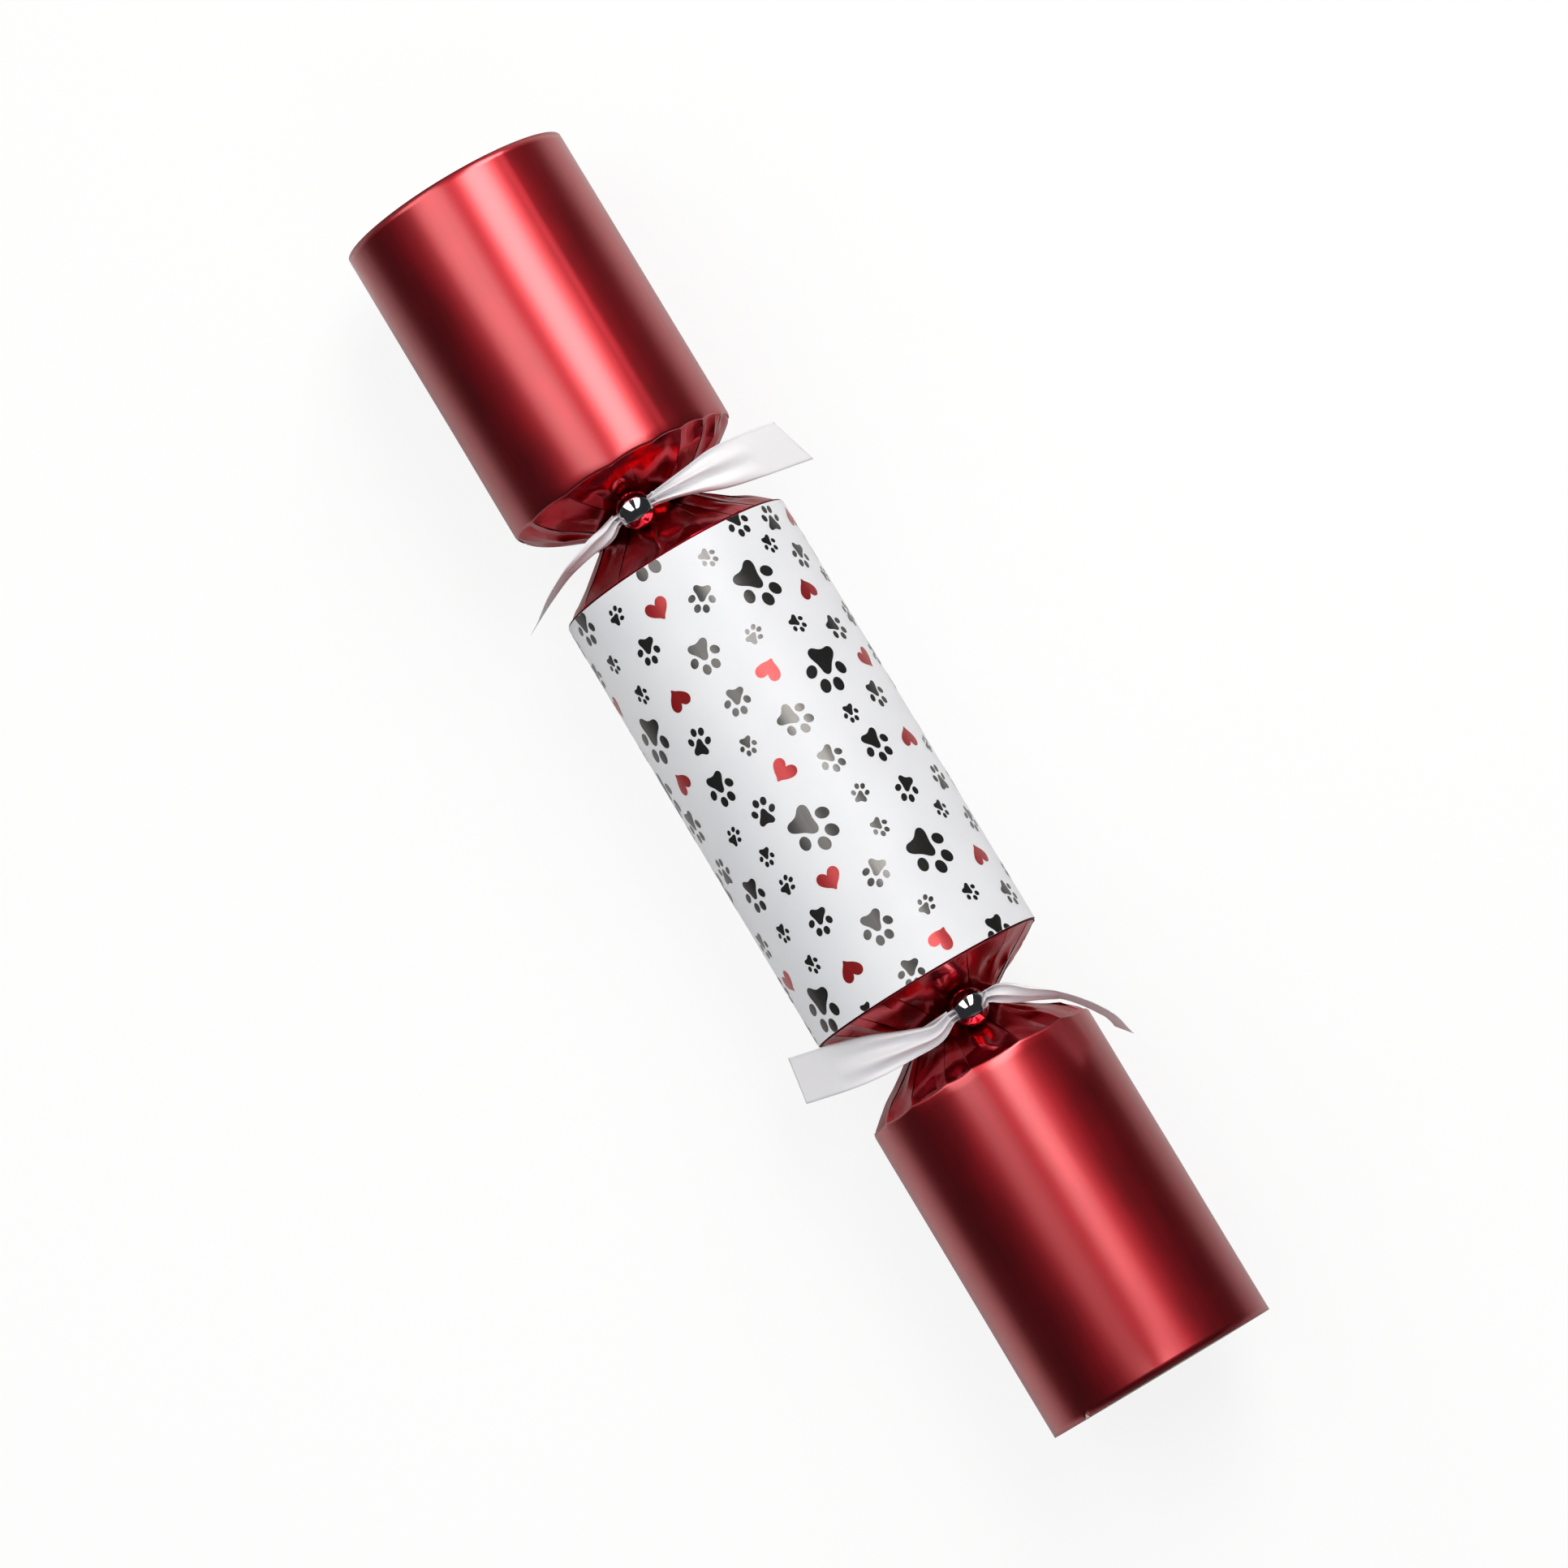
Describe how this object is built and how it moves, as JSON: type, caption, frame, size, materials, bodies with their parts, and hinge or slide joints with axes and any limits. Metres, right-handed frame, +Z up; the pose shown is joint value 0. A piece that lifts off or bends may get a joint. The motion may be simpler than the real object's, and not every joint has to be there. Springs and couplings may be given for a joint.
{
  "type": "christmas cracker",
  "caption": "Christmas cracker: card tubes in red foil with a printed white band, choked necks tied with ribbon through a bead; the ends pull off to snap it and free a paper hat and a gift.",
  "frame": {"origin": "on the table, straight under the middle of the cracker, with the cracker lying on its side", "axes": "+X along the cracker, from its left end to its right end; +Z up; +Y across it, to the back when the left end is on the left"},
  "size_m": [0.28, 0.0689, 0.051],
  "materials": {
    "foil": "gloss",
    "card": "matte",
    "band": "satin",
    "ribbon": "satin",
    "bead": "polished",
    "snap_card": "matte",
    "snap_coating": "matte",
    "snap_paper": "matte",
    "tissue": "matte",
    "motto_paper": "matte",
    "top_paint": "gloss",
    "top_wood": "satin"
  },
  "bodies": {
    "barrel": {"barrel_tube": "card", "barrel_wrap": "foil", "printed_band": "band"},
    "left_end": {"left_end_tube": "card", "left_wrap": "foil", "left_choke": "foil", "left_ribbon": "ribbon", "left_snap_strip": "snap_card", "snap_charge": "snap_coating"},
    "left_bead": {"left_bead": "bead"},
    "right_end": {"right_end_tube": "card", "right_wrap": "foil", "right_choke": "foil", "right_ribbon": "ribbon", "right_snap_strip": "snap_card", "snap_striker": "snap_coating", "snap_sleeve": "snap_paper"},
    "right_bead": {"right_bead": "bead"},
    "hat": {"hat_roll": "tissue", "hat_tie": "motto_paper", "motto_slip": "motto_paper"},
    "gift": {"top_disc": "top_paint", "top_peg": "top_wood"}
  },
  "joints": [
    {"name": "left_pull", "type": "slide", "parent": "barrel", "child": "left_end", "axis": [-1, 0, 0], "range_m": [0, 0.095]},
    {"name": "right_pull", "type": "slide", "parent": "barrel", "child": "right_end", "axis": [1, 0, 0], "range_m": [0, 0.095]},
    {"name": "left_bead_spin", "type": "hinge", "parent": "left_end", "child": "left_bead", "pos_m": [-0.0632, -0.00128, 0.0418], "axis": [0, 0.9969, 0.0785], "continuous": true},
    {"name": "right_bead_spin", "type": "hinge", "parent": "right_end", "child": "right_bead", "pos_m": [0.0576, 0.00464, 0.04118], "axis": [0, 0.9588, -0.284], "continuous": true},
    {"name": "hat_slide", "type": "slide", "parent": "barrel", "child": "hat", "axis": [1, 0, 0], "range_m": [-0.0045, 0.0025]},
    {"name": "gift_slide", "type": "slide", "parent": "barrel", "child": "gift", "axis": [1, 0, 0], "range_m": [-0.0025, 0.0065]}
  ]
}
